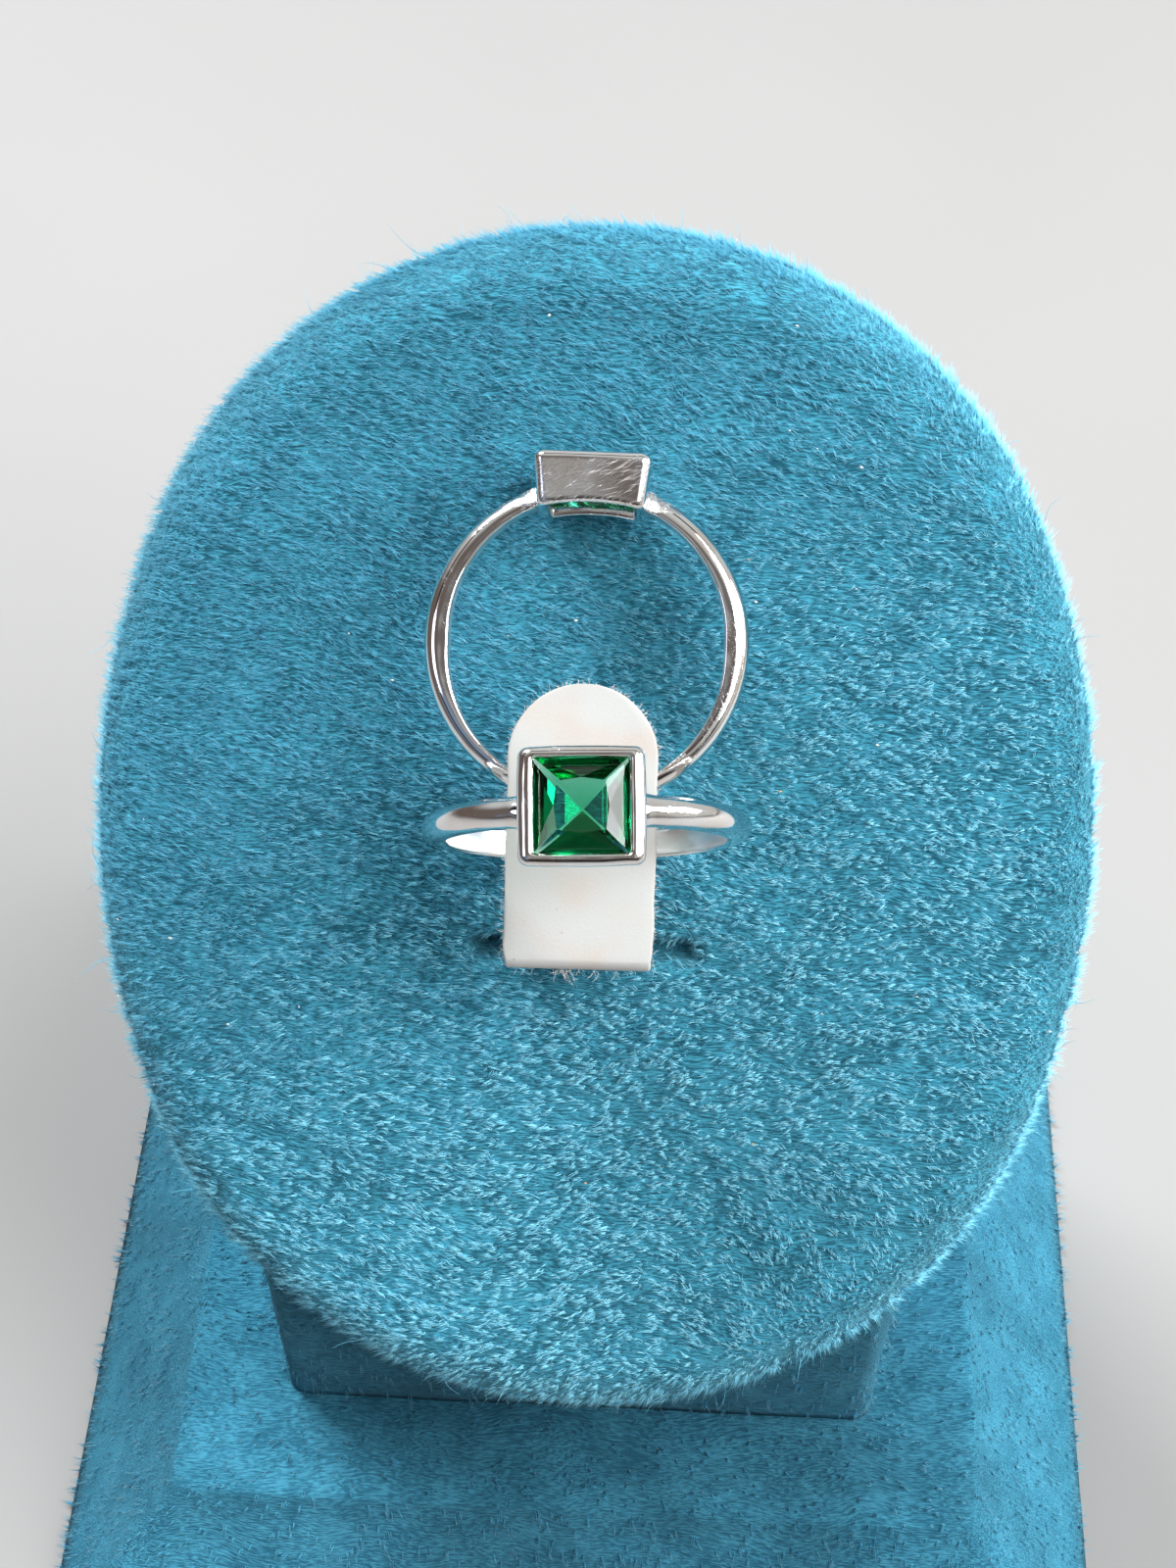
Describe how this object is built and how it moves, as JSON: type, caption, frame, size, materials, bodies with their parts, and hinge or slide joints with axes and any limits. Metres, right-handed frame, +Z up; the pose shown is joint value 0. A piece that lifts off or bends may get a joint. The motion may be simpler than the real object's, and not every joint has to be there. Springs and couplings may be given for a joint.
{
  "type": "pair of toe rings on a display stand",
  "caption": "Toe rings with square stones in high bezels, held by a folded tab on a slanted oval velvet stand with a square foot.",
  "frame": {"origin": "middle of the base's underside, on the surface that the stand rests on", "axes": "+Z up, -Y towards the front that the slanted pad faces, +X to the right seen from the front"},
  "size_m": [0.076, 0.076, 0.0827],
  "materials": {
    "velvet": "teal blue velvet with a deep pile",
    "tab_leather": "white, fine grain, cut edges",
    "silver": "polished by hand, fine scratches",
    "green_stone": "faceted and polished"
  },
  "bodies": {
    "root": {"stand_base": "velvet", "stand_neck": "velvet", "stand_pad": "velvet", "ring_tab": "tab_leather", "upright_ring": "silver", "upright_stone": "green_stone", "leaning_ring": "silver", "leaning_stone": "green_stone"}
  },
  "joints": []
}
